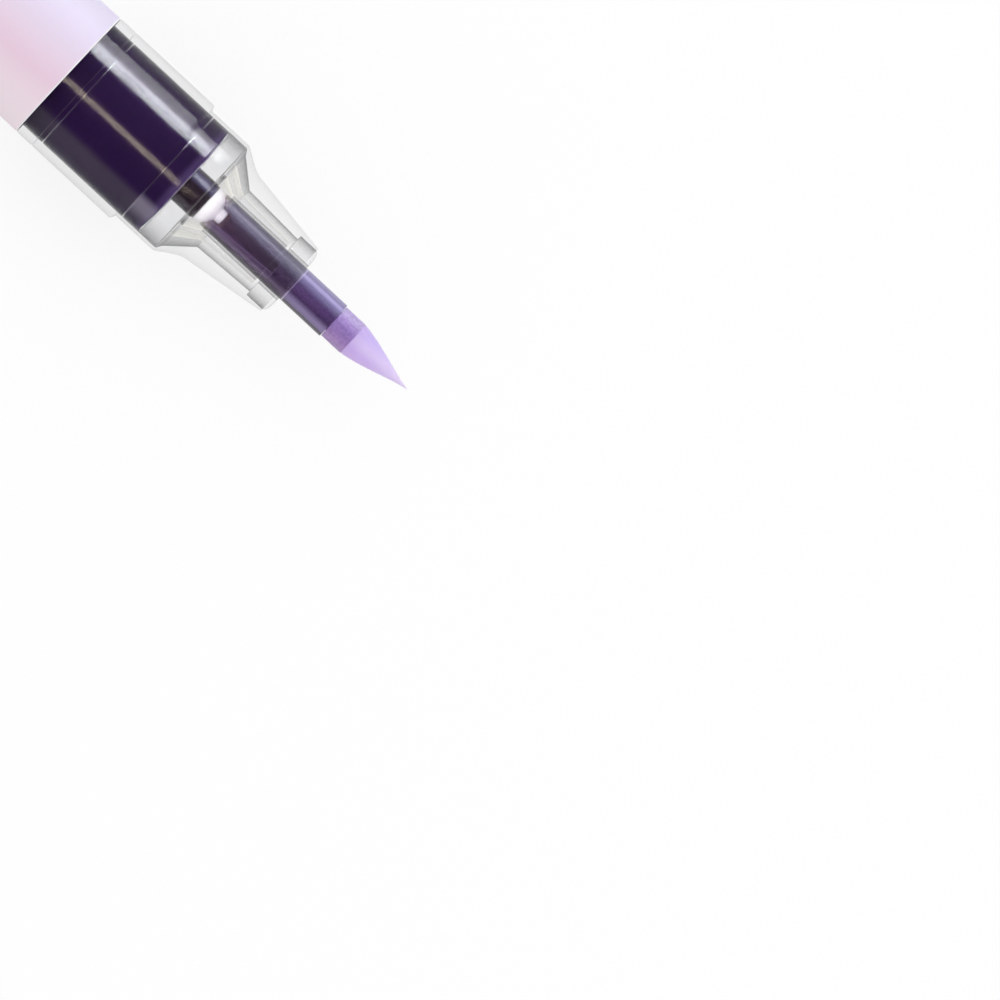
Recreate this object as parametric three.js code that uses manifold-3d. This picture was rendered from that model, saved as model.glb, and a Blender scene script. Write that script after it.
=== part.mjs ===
// A refillable paint marker with a soft brush nib, a pump-action valve and a cap posted on its tail.
// Millimetres. The pen lies along X with the nib towards +X, and +Z is up.
// Inside the pen group x = 0 is the step that the cap seats against, and every station follows from it.

import * as THREE from "three";
import { mergeVertices } from "three/addons/utils/BufferGeometryUtils.js";
import Module from "manifold-3d";

// Facets round the large and the small turned pieces
const roundSides = 40;
const fineSides = 28;

// Outer shells
const barrelRadius = 7.5;
const barrelLength = 82.1;
const gripLength = 10.65;
const seatStep = 0.58; // the cap seat is this much smaller than the barrel
const seatLength = 4.9;
const seatWall = 0.34;
const stepBevel = 0.3;
const lapLength = 4;
const edgeBevel = 0.25;
const labelDepth = 0.12;
const labelFrontMargin = 2.15;
const labelRearMargin = 7;

// Clear nose
const noseLength = 11.74;
const shoulderLength = 2.99;
const noseRootRadius = 5.36;
const noseRimRadius = 4.12;
const noseRootWall = 1.61;
const noseRimWall = 0.22;
const bushLedge = 0.44;
const bushDepth = 2.1;
const bushDome = 0.46;
const shoulderLining = 0.78;
const liningDepth = 0.35;
const rootRound = 0.45;

// Brush nib and its tube
const nibShowing = 9.7;
const nibConeLength = 7.4;
const nibRadius = 1.85;
const nibTipRadius = 0.06;
const nibSpigotLength = 1.6;
const nibTubeRadius = 2;
const nibTubeWall = 0.3;
const nibTubeShowing = 5.4;
const nibStroke = 2;
const nibPlay = 0.3; // between the nib tube and the plunger that it pushes
const wickRadius = 1.15;
const wickDepth = 2.55;
const spoutWall = 0.45;
const spoutMouthRadius = 1.3;
const spoutLength = 8.1;
const spoutCollar = 1;
const spoutInset = 0.6;

// Valve
const bulkheadThickness = 2.05;
const bossLength = 0.4;
const bossWall = 0.95;
const neckWall = 0.9;
const neckLength = 3.45;
const plugRingLength = 1;
const plugRingWall = 0.55;
const plungerStandoff = 0.75;
const plungerFlange = 0.3;
const plungerPinRadius = 0.7;
const plungerPinLength = 0.75;
const plungerConeLength = 1.25;
const shaftRadius = 0.8;
const shaftOverrun = 0.5;
const sealHeadThickness = 1.4;
const sealHeadInset = 0.4;
const washerThickness = 0.5;
const springLength = 6.6;
const springRadius = 2.2;
const springWireRadius = 0.2;
const springTurns = 6;
const cageWall = 0.45;
const cageEndWall = 0.8;
const cageWindowWidth = 1.8;
const cageWindowLength = 4.4;

// Funnel that guides the nib tube into the valve
const funnelFlange = 0.4;
const funnelWall = 1.38;
const funnelLength = 2.25;
const funnelThroat = 1.7;
const guideRearWall = 0.9;
const guideFrontWall = 0.63;

// Ink cartridge and paint
const cartridgeWall = 0.53;
const cartridgePlugLength = 3;
const cartridgePlugFlange = 1.25;
const cartridgePlugWall = 1.1;
const airSpace = 3;
const paintShaftRoom = 0.5;
const ballRadius = 2.4;
const ballRunFront = 20; // how far behind the step the ball's race starts
const ballStation = 45;

// Tail and cap
const tailSkirtLength = 5.4;
const tailWall = 1.1;
const tailRound = 1;
const capTipRoom = 1.5;
const capEndWall = 1.6;
const capRound = 1.2;
const linerBore = 4.6;
const linerWall = 0.7;
const linerBase = 1;
const spigotRoom = 0.5;
const clipWidth = 4;
const clipThickness = 1.6;
const clipGap = 1.4;
const clipLength = 29;
const clipRootLength = 5;
const clipEndInset = 1.8; // from the cap's closed end
const clipBeadLength = 2.4;
const clipBeadGap = 0.35;

// Clearances
const runningFit = 0.1;
const pressFit = 0.05;
const sealFit = 0.15;
const capFit = 0.08;
const faceGap = 0.05;

// Radii that follow from the sizes above
const seatRadius = barrelRadius - seatStep;
const bodyBore = seatRadius - seatWall;
const lapRadius = bodyBore + (barrelRadius - bodyBore) / 2;
const bushSeatRadius = noseRimRadius - noseRimWall;
const noseBoreFront = bushSeatRadius - bushLedge;
const noseBoreRear = noseRootRadius - noseRootWall;
const nibTubeBore = nibTubeRadius - nibTubeWall;
const guideBore = nibTubeRadius + runningFit;
const neckBore = guideBore;
const neckRadius = neckBore + neckWall;
const bossRadius = neckBore + bossWall;
const sealRadius = neckBore - sealFit;
const cageBore = neckRadius + pressFit;
const cageRadius = cageBore + cageWall;
const sealHeadRadius = cageBore - sealHeadInset;
const cartridgeRadius = bodyBore - runningFit;
const cartridgeBore = cartridgeRadius - cartridgeWall;
const paintRadius = cartridgeBore - runningFit;
const capBore = seatRadius + capFit;

// Stations along the pen, from the step towards the nib
const noseRimX = seatLength + noseLength;
const noseRootX = seatLength + shoulderLength;
const bushRearX = noseRimX - bushDepth;
const nibTubeFrontX = noseRimX + bushDome + nibTubeShowing;
const nibShoulderX = nibTubeFrontX + faceGap;
const nibTipX = nibShoulderX + nibShowing;
const bulkheadFrontX = seatLength;
const bulkheadRearX = bulkheadFrontX - bulkheadThickness;
const plungerFlangeX = bulkheadFrontX + plungerStandoff;
const nibTubeRearX = plungerFlangeX + plungerFlange + nibPlay;
const spoutRearX = nibTubeRearX + spoutInset;
const spoutFrontX = spoutRearX + spoutLength;

// Stations from the step towards the tail
const neckRearX = bulkheadRearX - neckLength;
const sealHeadRearX = neckRearX - runningFit - sealHeadThickness;
const washerRearX = sealHeadRearX - faceGap - washerThickness;
const cageEndX = washerRearX - springLength;
const shaftEndX = cageEndX - shaftOverrun;
const barrelFrontX = -gripLength - faceGap;
const tailX = barrelFrontX - barrelLength;
const tailSkirtX = tailX + tailSkirtLength;
const cartridgePlugRearX = tailSkirtX + faceGap;
const cartridgeRearX = cartridgePlugRearX + cartridgePlugFlange + faceGap;
const cartridgePlugFrontX = cartridgeRearX + cartridgePlugLength;
const paintRearX = cartridgePlugFrontX + airSpace;

// The cap is as deep as the nib needs, and its liner seals on the taper of the nose
const noseTaper = (noseRootRadius - noseRimRadius) / (noseRimX - noseRootX);
const linerMouth = noseRimX - (linerBore - noseRimRadius) / noseTaper;
const capDepth = nibTipX + capTipRoom + linerBase;
const capRimX = tailX - faceGap;
const capInnerEndX = capRimX - capDepth;
const capEndX = capInnerEndX - capEndWall;
const tailSpigotLength = linerMouth - spigotRoom;

// The clip is turned so that one of its edges and the barrel touch the table together
const clipTop = barrelRadius + clipGap + clipThickness;
const clipEdgeRadius = Math.hypot(clipTop, clipWidth / 2);
const barrelFlat = barrelRadius * Math.cos(Math.PI / roundSides);
const clipFromDown = Math.acos(barrelFlat / clipEdgeRadius) + Math.atan(clipWidth / 2 / clipTop);

const wasm = await Module();
wasm.setup();

// A turned piece. The profile is a list of [x, radius] that runs from the nib end, over the outside, to the
// tail end, and either starts and ends on the axis or comes back through the bore to its first point.
function turned(profile, sides = roundSides) {
  const points = profile.map(([x, radius]) => new THREE.Vector2(radius, x));
  return new THREE.LatheGeometry(points.reverse(), sides, Math.PI / sides).rotateZ(-Math.PI / 2);
}

// The same for a piece with a bore: the last point joins the first.
function turnedRing(profile, sides = roundSides) {
  return turned([...profile, profile[0]], sides);
}

// Points of an arc round [x, radius], from one angle to another; 0 degrees points at the nib, 90 outwards.
function arc(x, radius, size, from, to, steps = 4) {
  return Array.from({ length: steps + 1 }, (_, i) => {
    const angle = THREE.MathUtils.degToRad(from + ((to - from) * i) / steps);
    return [x + size * Math.cos(angle), radius + size * Math.sin(angle)];
  });
}

// Points of a cubic curve through two end points and two handles.
function curve(start, handleA, handleB, end, steps) {
  const path = new THREE.CubicBezierCurve(
    new THREE.Vector2(...start),
    new THREE.Vector2(...handleA),
    new THREE.Vector2(...handleB),
    new THREE.Vector2(...end)
  );
  return path.getPoints(steps).map((point) => [point.x, point.y]);
}

function toSolid(geometry) {
  const bare = geometry.clone();
  bare.deleteAttribute("normal");
  bare.deleteAttribute("uv");
  const merged = mergeVertices(bare);
  return new wasm.Manifold(
    new wasm.Mesh({
      numProp: 3,
      vertProperties: merged.attributes.position.array,
      triVerts: new Uint32Array(merged.index.array),
    })
  );
}

function toGeometry(solid) {
  const mesh = solid.getMesh();
  const geometry = new THREE.BufferGeometry();
  geometry.setAttribute("position", new THREE.BufferAttribute(mesh.vertProperties, 3));
  geometry.setIndex(new THREE.BufferAttribute(mesh.triVerts, 1));
  geometry.computeVertexNormals();
  return geometry;
}

function cut(geometry, tools) {
  const solid = tools.reduce((left, tool) => left.subtract(toSolid(tool)), toSolid(geometry));
  return toGeometry(solid);
}

function join(first, second) {
  return toGeometry(toSolid(first).add(toSolid(second)));
}

// The soft nib: a full-bodied cone on a short cylinder, with a blind bore for the wick and a spigot behind.
function brushNib() {
  const coneEndX = nibTipX - nibConeLength;
  const boreRadius = wickRadius + pressFit;
  const boreEndX = nibShoulderX + wickDepth;
  const spigotRadius = nibTubeBore - pressFit;
  const spigotEndX = nibShoulderX - nibSpigotLength;
  const cone = curve(
    [nibTipX, nibTipRadius],
    [nibTipX - nibConeLength * 0.35, nibRadius * 0.3],
    [nibTipX - nibConeLength * 0.7, nibRadius * 0.945],
    [coneEndX, nibRadius],
    10
  );
  return turned(
    [
      [nibTipX, 0],
      ...cone,
      [nibShoulderX, nibRadius],
      [nibShoulderX, spigotRadius],
      [spigotEndX, spigotRadius],
      [spigotEndX, boreRadius],
      [boreEndX, boreRadius],
      [boreEndX, 0],
    ],
    fineSides
  );
}

function nibTube() {
  const lip = nibTubeWall / 3;
  return turnedRing([
    [nibTubeFrontX, nibTubeBore],
    [nibTubeFrontX, nibTubeRadius - lip],
    [nibTubeFrontX - lip, nibTubeRadius],
    [nibTubeRearX, nibTubeRadius],
    [nibTubeRearX, nibTubeBore],
  ], fineSides);
}

// The wick carries paint from the mouth of the spout into the nib.
function nibWick() {
  const frontX = nibShoulderX + wickDepth - pressFit;
  const rearX = spoutFrontX + runningFit;
  return turned([
    [frontX, 0],
    [frontX, wickRadius],
    [rearX, wickRadius],
    [rearX, 0],
  ], fineSides);
}

// The tapered spout inside the nib tube leads paint from the valve to the wick.
function feedSpout() {
  const collarRadius = nibTubeBore - pressFit;
  const collarX = spoutRearX + spoutCollar;
  const bodyRadius = collarRadius - pressFit;
  return turnedRing([
    [spoutFrontX, spoutMouthRadius - spoutWall],
    [spoutFrontX, spoutMouthRadius],
    [collarX, bodyRadius],
    [collarX, collarRadius],
    [spoutRearX, collarRadius],
    [spoutRearX, collarRadius - spoutWall],
  ], fineSides);
}

// The white plunger: a round pin inside the spout, a hollow-sided cone, a flange that the nib tube pushes,
// and a shaft through the seal, the washer and the spring.
function plunger() {
  const flangeFrontX = plungerFlangeX + plungerFlange;
  const coneFrontX = flangeFrontX + plungerConeLength;
  const coneRadius = nibTubeBore - runningFit;
  const pinRoundX = coneFrontX + plungerPinLength - plungerPinRadius;
  const cone = curve(
    [coneFrontX, plungerPinRadius],
    [coneFrontX - plungerConeLength * 0.5, plungerPinRadius],
    [flangeFrontX + plungerConeLength * 0.3, coneRadius * 0.7],
    [flangeFrontX, coneRadius],
    6
  );
  return turned([
    ...arc(pinRoundX, 0, plungerPinRadius, 0, 90, 5),
    ...cone,
    [flangeFrontX, sealRadius],
    [plungerFlangeX, sealRadius],
    [plungerFlangeX, shaftRadius],
    [shaftEndX, shaftRadius],
    [shaftEndX, 0],
  ], fineSides);
}

// Dark rubber seal: a sleeve through the neck and a head that the spring pulls against the neck's rear face.
function pistonSeal() {
  const bore = shaftRadius + pressFit;
  const frontX = plungerFlangeX - faceGap;
  const headX = neckRearX - runningFit;
  return turnedRing([
    [frontX, bore],
    [frontX, sealRadius],
    [headX, sealRadius],
    [headX, sealHeadRadius],
    [sealHeadRearX, sealHeadRadius],
    [sealHeadRearX, bore],
  ], fineSides);
}

function springWasher() {
  const frontX = sealHeadRearX - faceGap;
  const bore = shaftRadius + pressFit;
  const radius = sealHeadRadius - runningFit;
  return turnedRing([
    [frontX, bore],
    [frontX, radius],
    [washerRearX, radius],
    [washerRearX, bore],
  ], fineSides);
}

// A helix round the pen's axis, from the washer to the end wall of the cage.
class SpringPath extends THREE.Curve {
  getPoint(t) {
    const seat = springWireRadius + faceGap;
    const angle = t * springTurns * 2 * Math.PI;
    const x = THREE.MathUtils.lerp(washerRearX - seat, cageEndX + seat, t);
    return new THREE.Vector3(x, springRadius * Math.cos(angle), springRadius * Math.sin(angle));
  }
}

const springStepsPerTurn = 8;

function valveSpring() {
  const section = new THREE.Shape();
  section.absarc(0, 0, springWireRadius, 0, 2 * Math.PI);
  return new THREE.ExtrudeGeometry(new THREE.Shape(section.getPoints(5).slice(0, 5)), {
    extrudePath: new SpringPath(),
    steps: springTurns * springStepsPerTurn,
  });
}

// The least gap between one turn of the spring and the next, measured on points of the wire's centre line.
function springGap() {
  const points = new SpringPath().getPoints(springTurns * springStepsPerTurn);
  let least = Infinity;
  points.forEach((point, i) => {
    points.slice(i + springStepsPerTurn / 2).forEach((other) => {
      least = Math.min(least, point.distanceTo(other));
    });
  });
  return least - 2 * springWireRadius;
}

// A sleeve pressed over the neck, with four windows for the paint and an end wall that carries the spring.
function valveCage() {
  const frontX = bulkheadRearX - faceGap;
  const rearX = cageEndX - cageEndWall;
  const sleeve = turnedRing([
    [frontX, cageBore],
    [frontX, cageRadius],
    [rearX, cageRadius],
    [rearX, shaftRadius + runningFit],
    [cageEndX, shaftRadius + runningFit],
    [cageEndX, cageBore],
  ], fineSides);
  const windowX = (washerRearX + cageEndX) / 2;
  const window = new THREE.BoxGeometry(cageWindowLength, cageWindowWidth, 3 * cageRadius);
  window.translate(windowX, 0, 0);
  return cut(sleeve, [window, window.clone().rotateX(Math.PI / 2)]);
}

// The clear bulkhead that stops the cartridge: a disc with a front boss for the funnel, a plug ring inside
// the cartridge and a neck for the seal.
function valveBody() {
  const bossFrontX = bulkheadFrontX + bossLength;
  const plugRingRadius = cartridgeBore - runningFit;
  const plugRingX = bulkheadRearX - plugRingLength;
  return turnedRing([
    [bossFrontX, neckBore],
    [bossFrontX, bossRadius],
    [bulkheadFrontX, bossRadius],
    [bulkheadFrontX, cartridgeRadius],
    [bulkheadRearX, cartridgeRadius],
    [bulkheadRearX, plugRingRadius],
    [plugRingX, plugRingRadius],
    [plugRingX, plugRingRadius - plugRingWall],
    [bulkheadRearX, plugRingRadius - plugRingWall],
    [bulkheadRearX, neckRadius],
    [neckRearX, neckRadius],
    [neckRearX, neckBore],
  ]);
}

// The clear funnel and its long sleeve stand on the bulkhead and guide the nib tube.
function nibGuide() {
  const rearX = bulkheadFrontX + runningFit;
  const flangeX = rearX + funnelFlange;
  const mouth = bossRadius + sealFit;
  const frontX = bushRearX - 3 * runningFit;
  return turnedRing([
    [frontX, guideBore],
    [frontX, guideBore + guideFrontWall],
    [flangeX + funnelLength, guideBore + guideRearWall],
    [flangeX, mouth + funnelWall],
    [rearX, mouth + funnelWall],
    [rearX, mouth],
    [flangeX, mouth],
    [flangeX + funnelThroat, guideBore],
  ]);
}

// The bush closes the nose: a clear ring with a domed front that stands out of the rim.
function guideBush() {
  const radius = bushSeatRadius - pressFit;
  const dome = curve(
    [noseRimX + bushDome, guideBore + 0.25],
    [noseRimX + bushDome, guideBore + 1],
    [noseRimX + bushDome * 0.7, radius],
    [noseRimX, radius],
    5
  );
  return turnedRing([
    [noseRimX + bushDome, guideBore],
    ...dome,
    [bushRearX + faceGap, radius],
    [bushRearX + faceGap, guideBore],
  ]);
}

// The clear front section: nose, curved shoulder, cap seat, step, grip, and the lap that joins the barrel.
function frontSection() {
  const shoulder = curve(
    [noseRootX, noseRootRadius],
    [noseRootX - shoulderLength * 0.33, noseRootRadius + 0.14],
    [seatLength + shoulderLength * 0.3, seatRadius - 0.5],
    [seatLength, seatRadius],
    8
  );
  const lapRearX = barrelFrontX - lapLength;
  const rim = noseRimWall / 3;
  return turnedRing([
    [noseRimX, bushSeatRadius],
    [noseRimX, noseRimRadius - rim],
    [noseRimX - rim, noseRimRadius],
    ...shoulder,
    [0, seatRadius],
    [-stepBevel, barrelRadius],
    [-gripLength, barrelRadius],
    [-gripLength, lapRadius],
    [lapRearX, lapRadius],
    [lapRearX, bodyBore],
    [seatLength + faceGap, bodyBore],
    [seatLength + faceGap + liningDepth, bodyBore - shoulderLining],
    [noseRootX - rootRound, noseBoreRear + rootRound / 6],
    [noseRootX, noseBoreRear],
    [bushRearX, noseBoreFront],
    [bushRearX, bushSeatRadius],
  ]);
}

// The barrel has a shallow panel for the label, so that the label's face lies flush with the ends.
function barrel() {
  const panelRadius = barrelRadius - labelDepth;
  const panelFrontX = barrelFrontX - labelFrontMargin;
  const panelRearX = tailX + labelRearMargin;
  const lapBore = lapRadius + pressFit;
  return turnedRing([
    [barrelFrontX, lapBore],
    [barrelFrontX, barrelRadius],
    [panelFrontX, barrelRadius],
    [panelFrontX, panelRadius],
    [panelRearX, panelRadius],
    [panelRearX, barrelRadius],
    [tailX + edgeBevel, barrelRadius],
    [tailX, barrelRadius - edgeBevel],
    [tailX, bodyBore],
    [barrelFrontX - lapLength - runningFit, bodyBore],
    [barrelFrontX - lapLength - runningFit, lapBore],
  ]);
}

function label() {
  const frontX = barrelFrontX - labelFrontMargin - faceGap;
  const rearX = tailX + labelRearMargin + faceGap;
  const inner = barrelRadius - labelDepth + labelDepth / 8;
  const outer = barrelRadius - labelDepth / 8;
  return turnedRing([
    [frontX, inner],
    [frontX, outer],
    [rearX, outer],
    [rearX, inner],
  ]);
}

function cartridgeTube() {
  const frontX = bulkheadRearX - faceGap;
  return turnedRing([
    [frontX, cartridgeBore],
    [frontX, cartridgeRadius],
    [cartridgeRearX, cartridgeRadius],
    [cartridgeRearX, cartridgeBore],
  ]);
}

function cartridgePlug() {
  const radius = cartridgeBore - pressFit;
  const cupRadius = radius - cartridgePlugWall;
  const flangeX = cartridgeRearX - faceGap;
  return turned([
    [cartridgePlugFrontX, 0],
    [cartridgePlugFrontX, radius],
    [flangeX, radius],
    [flangeX, cartridgeRadius],
    [cartridgePlugRearX, cartridgeRadius],
    [cartridgePlugRearX, cupRadius],
    [cartridgePlugFrontX - cartridgePlugWall, cupRadius],
    [cartridgePlugFrontX - cartridgePlugWall, 0],
  ]);
}

// The paint fills the cartridge round the plug ring and the cage, and leaves the race that the ball runs in.
function paintFill() {
  const ringRadius = cartridgeBore - runningFit - plugRingWall - runningFit;
  const ringX = bulkheadRearX - plugRingLength - runningFit;
  const frontX = bulkheadRearX - runningFit;
  const cavityRadius = cageRadius + runningFit;
  const cavityX = Math.min(shaftEndX - nibStroke, cageEndX - cageEndWall) - paintShaftRoom;
  const fill = turned([
    [cavityX, 0],
    [cavityX, cavityRadius],
    [frontX, cavityRadius],
    [frontX, ringRadius],
    [ringX, ringRadius],
    [ringX, paintRadius],
    [paintRearX, paintRadius],
    [paintRearX, 0],
  ]);
  const raceFrontX = -ballRunFront;
  const raceRearX = paintRearX - ballRadius;
  const race = turned([
    [raceFrontX, 0],
    [raceFrontX, ballRadius + runningFit],
    [raceRearX, ballRadius + runningFit],
    [raceRearX, 0],
  ], fineSides);
  race.translate(0, 0, ballHeight());
  return cut(fill, [race]);
}

// The ball lies on the lower side of the cartridge's bore.
function ballHeight() {
  return ballRadius + runningFit - cartridgeBore;
}

function mixingBall() {
  const ball = new THREE.SphereGeometry(ballRadius, 24, 16);
  return ball.translate(-ballStation, 0, ballHeight());
}

// The plug closes the barrel, presses on the cartridge and ends in the spigot that the cap is posted on.
function tailPlug() {
  const skirtRadius = bodyBore - pressFit;
  const cupRadius = skirtRadius - tailWall;
  const shoulderX = tailX - faceGap;
  const endX = shoulderX - tailSpigotLength;
  return turned([
    [endX + tailWall, 0],
    [endX + tailWall, cupRadius],
    [tailSkirtX, cupRadius],
    [tailSkirtX, skirtRadius],
    [shoulderX, skirtRadius],
    [shoulderX, seatRadius],
    ...arc(endX + tailRound, seatRadius - tailRound, tailRound, 90, 180),
    [endX, 0],
  ]);
}

// The clip's side outline, drawn with its height over the pen's axis, and then turned to its place.
function capClip() {
  const footHeight = (capBore + Math.sqrt(barrelRadius ** 2 - clipWidth ** 2 / 4)) / 2;
  const underside = barrelRadius + clipGap;
  const rootX = capEndX + clipEndInset;
  const freeX = rootX + clipLength;
  const beadHeight = barrelRadius + clipBeadGap;
  const outline = new THREE.Shape();
  outline.moveTo(rootX, footHeight);
  outline.lineTo(rootX, clipTop - clipThickness / 2);
  outline.quadraticCurveTo(rootX, clipTop, rootX + clipThickness, clipTop);
  outline.lineTo(freeX - clipThickness, clipTop);
  outline.quadraticCurveTo(freeX, clipTop, freeX, underside);
  outline.quadraticCurveTo(freeX - clipBeadLength / 4, beadHeight, freeX - clipBeadLength / 2, beadHeight);
  outline.quadraticCurveTo(freeX - clipBeadLength, beadHeight, freeX - clipBeadLength, underside);
  outline.lineTo(rootX + clipRootLength + clipGap / 2, underside);
  outline.quadraticCurveTo(rootX + clipRootLength, underside, rootX + clipRootLength, footHeight);
  outline.closePath();
  const clip = new THREE.ExtrudeGeometry(outline, { depth: clipWidth, bevelEnabled: false, curveSegments: 4 });
  clip.translate(0, 0, -clipWidth / 2);
  clip.rotateX(Math.PI / 2);
  return clip.rotateX(clipFromDown - Math.PI);
}

// The clear cap, closed at the tail end, with its moulded clip.
function cap() {
  const shell = turned([
    [capInnerEndX, 0],
    [capInnerEndX, capBore],
    [capRimX, capBore],
    [capRimX, barrelRadius - edgeBevel],
    [capRimX - edgeBevel, barrelRadius],
    ...arc(capEndX + capRound, barrelRadius - capRound, capRound, 90, 180),
    [capEndX, 0],
  ]);
  return join(shell, capClip());
}

// The liner stands on the cap's end wall, and its mouth seals on the nose when the pen is capped.
function capLiner() {
  const baseRadius = capBore - pressFit;
  const baseX = capInnerEndX + faceGap;
  const mouthX = capRimX - linerMouth;
  return turned([
    [baseX + linerBase, 0],
    [baseX + linerBase, linerBore],
    [mouthX, linerBore],
    [mouthX, linerBore + linerWall / 2],
    [mouthX - linerWall, linerBore + linerWall],
    [baseX + linerBase, linerBore + linerWall],
    [baseX + linerBase, baseRadius],
    [baseX, baseRadius],
    [baseX, 0],
  ]);
}

function finish(color, roughness, metalness = 0, opacity = 1) {
  return { color, roughness, metalness, opacity, transparent: opacity < 1 };
}

const clear = finish(0xe4e8e8, 0.06, 0, 0.35);
const pieces = [
  ["brush_nib", brushNib(), finish(0xcdb8f0, 0.35)],
  ["nib_tube", nibTube(), finish(0x8a80b8, 0.1, 0, 0.5)],
  ["nib_wick", nibWick(), finish(0x4c3260, 0.9)],
  ["feed_spout", feedSpout(), finish(0x9a8fb0, 0.15, 0, 0.6)],
  ["plunger", plunger(), finish(0xf0edf2, 0.4)],
  ["piston_seal", pistonSeal(), finish(0x2c2030, 0.55)],
  ["spring_washer", springWasher(), finish(0xb8bcc2, 0.3, 1)],
  ["valve_spring", valveSpring(), finish(0xc4c8cc, 0.25, 1)],
  ["valve_cage", valveCage(), finish(0xe8e8ea, 0.4)],
  ["valve_body", valveBody(), clear],
  ["nib_guide", nibGuide(), clear],
  ["guide_bush", guideBush(), clear],
  ["front_section", frontSection(), clear],
  ["barrel", barrel(), clear],
  ["label", label(), finish(0xe6d4ee, 0.45)],
  ["cartridge_tube", cartridgeTube(), clear],
  ["cartridge_plug", cartridgePlug(), finish(0xe6e6e8, 0.4)],
  ["paint_fill", paintFill(), finish(0x2d1b41, 0.2)],
  ["mixing_ball", mixingBall(), finish(0xb4b6ba, 0.15, 1)],
  ["tail_plug", tailPlug(), finish(0xd9c8ea, 0.3)],
  ["cap", cap(), clear],
  ["cap_liner", capLiner(), finish(0xf2f0f4, 0.45, 0, 0.8)],
];

const marker = new THREE.Group();
marker.position.x = -capEndX;
for (const [name, geometry, look] of pieces) {
  const mesh = new THREE.Mesh(geometry, new THREE.MeshStandardMaterial(look));
  mesh.name = name;
  marker.add(mesh);
}

console.log(`least gap in the valve spring: ${springGap().toFixed(2)} mm`);

export default marker;
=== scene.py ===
import math

import bmesh
import bpy
from mathutils import Matrix, Vector
from mathutils.geometry import interpolate_bezier


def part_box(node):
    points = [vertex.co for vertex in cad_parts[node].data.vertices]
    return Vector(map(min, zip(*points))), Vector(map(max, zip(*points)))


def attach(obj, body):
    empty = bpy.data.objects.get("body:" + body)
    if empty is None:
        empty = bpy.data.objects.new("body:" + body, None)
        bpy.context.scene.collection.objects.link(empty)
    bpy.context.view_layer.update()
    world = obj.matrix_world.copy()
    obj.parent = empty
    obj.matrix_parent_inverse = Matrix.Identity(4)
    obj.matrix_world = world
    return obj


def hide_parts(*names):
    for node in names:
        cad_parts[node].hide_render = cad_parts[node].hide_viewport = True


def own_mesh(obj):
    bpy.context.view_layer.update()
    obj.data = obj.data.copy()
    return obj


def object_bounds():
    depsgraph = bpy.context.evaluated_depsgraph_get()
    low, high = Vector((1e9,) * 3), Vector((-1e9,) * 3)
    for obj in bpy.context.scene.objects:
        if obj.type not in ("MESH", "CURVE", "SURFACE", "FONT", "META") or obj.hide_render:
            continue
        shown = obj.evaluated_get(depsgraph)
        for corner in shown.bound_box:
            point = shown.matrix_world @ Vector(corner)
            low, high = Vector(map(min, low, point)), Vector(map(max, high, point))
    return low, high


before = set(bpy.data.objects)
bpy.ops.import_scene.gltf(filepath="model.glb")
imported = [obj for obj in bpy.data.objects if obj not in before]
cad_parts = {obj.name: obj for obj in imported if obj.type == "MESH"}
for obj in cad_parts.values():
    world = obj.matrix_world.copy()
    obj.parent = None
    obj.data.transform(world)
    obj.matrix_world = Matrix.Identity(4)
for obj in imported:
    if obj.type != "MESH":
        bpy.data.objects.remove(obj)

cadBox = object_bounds()
mm = 0.001

# Everything on the pen is turned round the X axis, and is written in millimetres from the step that the cap
# seats against: x grows towards the nib. The step's place comes from the frame.
pen = {"seat": 4.9, "nose": 11.74, "barrelRadius": -cadBox[0].z / mm, "seatRadius": 6.92, "bore": 6.58}
rimX = pen["seat"] + pen["nose"]
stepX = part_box("front_section")[1].x - rimX * mm


def reach(node):  # a node's rear and front
    low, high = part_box(node)
    return (low.x - stepX) / mm, (high.x - stepX) / mm


def past(origin, steps):
    return [origin + step for step in steps]


# Shader sockets that take part in Python expressions

class Wire:
    def __init__(self, finish, socket):
        self.finish = finish
        self.socket = socket

    def math(self, operation, first, second):
        return self.finish.node("ShaderNodeMath", {"operation": operation}, {0: first, 1: second})

    def __add__(self, other):
        return self.math("ADD", self, other)

    def __radd__(self, other):
        return self.math("ADD", other, self)

    def __sub__(self, other):
        return self.math("SUBTRACT", self, other)

    def __rsub__(self, other):
        return self.math("SUBTRACT", other, self)

    def __mul__(self, other):
        return self.math("MULTIPLY", self, other)

    def __pow__(self, other):
        return self.math("POWER", self, other)

    def larger(self, other):
        return self.math("MAXIMUM", self, other)


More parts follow.
